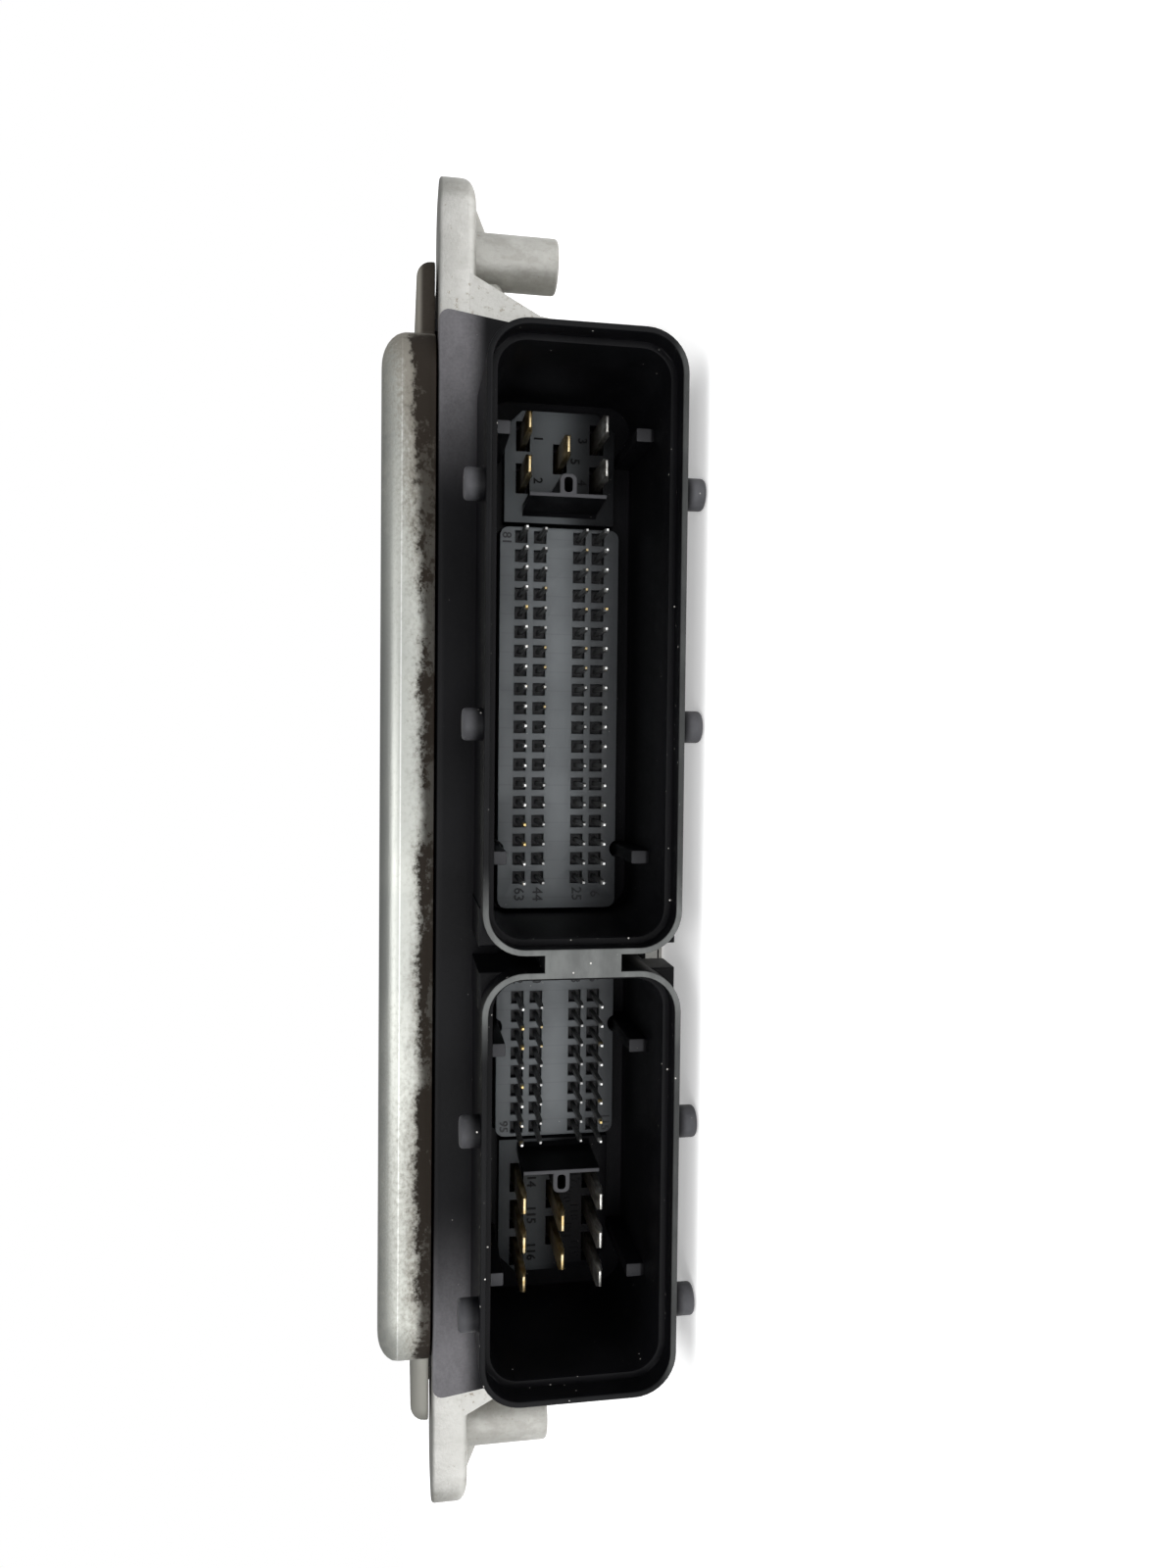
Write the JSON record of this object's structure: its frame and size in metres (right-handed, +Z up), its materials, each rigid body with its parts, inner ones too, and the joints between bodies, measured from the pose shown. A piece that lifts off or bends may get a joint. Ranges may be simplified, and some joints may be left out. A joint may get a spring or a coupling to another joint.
{
  "type": "engine control unit",
  "caption": "Engine control unit with a cast aluminium tray on four post feet, a pressed aluminium lid and a dark plastic header with a large and a small plug socket.",
  "frame": {"origin": "middle of the underside, under the centre of the bounding box", "axes": "+X along the row of sockets from the small one to the large one, +Y from the sockets to the rear, +Z up through the lid"},
  "size_m": [0.178, 0.1428, 0.0377],
  "materials": {
    "cast_aluminium": "die-cast, matt, a little dirty",
    "lid_sheet": "drawn sheet, satin, stained along the header's seam",
    "header_plastic": "dark grey glass-filled moulding",
    "carrier_plastic": "mid grey moulding with tinned square pins",
    "blade_metal": "gold-coloured plating, worn silvery at the tips",
    "screw_steel": "plated steel",
    "seal_rubber": "black silicone bead",
    "board_laminate": "green solder mask",
    "chip_plastic": "black moulding compound",
    "can_metal": "plain metal can",
    "coil_ferrite": "ferrite and lacquer",
    "pad_silicone": "grey-blue thermal pad"
  },
  "bodies": {
    "root": {"base_housing": "cast_aluminium", "blade_large_middle_05": "blade_metal", "blade_large_outer_01": "blade_metal", "blade_large_outer_02": "blade_metal", "blade_large_outer_03": "blade_metal", "blade_large_outer_04": "blade_metal", "blade_small_middle_12": "blade_metal", "blade_small_middle_13": "blade_metal", "blade_small_outer_06": "blade_metal", "blade_small_outer_07": "blade_metal", "blade_small_outer_08": "blade_metal", "blade_small_outer_09": "blade_metal", "blade_small_outer_10": "blade_metal", "blade_small_outer_11": "blade_metal", "board_screw_1": "screw_steel", "board_screw_2": "screw_steel", "board_screw_3": "screw_steel", "board_screw_4": "screw_steel", "bus_transceiver": "chip_plastic", "capacitor_1": "can_metal", "capacitor_2": "can_metal", "capacitor_3": "can_metal", "circuit_board": "board_laminate", "clock_crystal": "can_metal", "flash_memory": "chip_plastic", "header_body": "header_plastic", "header_seal": "seal_rubber", "lid": "lid_sheet", "lid_screw_1": "screw_steel", "lid_screw_2": "screw_steel", "lid_screw_3": "screw_steel", "lid_screw_4": "screw_steel", "lid_screw_5": "screw_steel", "lid_screw_6": "screw_steel", "lid_seal": "seal_rubber", "microcontroller": "chip_plastic", "pin_carrier_large": "carrier_plastic", "pin_carrier_small": "carrier_plastic", "power_driver_1": "chip_plastic", "power_driver_2": "chip_plastic", "power_driver_3": "chip_plastic", "power_driver_4": "chip_plastic", "storage_coil": "coil_ferrite", "thermal_pad": "pad_silicone", "voltage_regulator": "chip_plastic"}
  },
  "joints": []
}
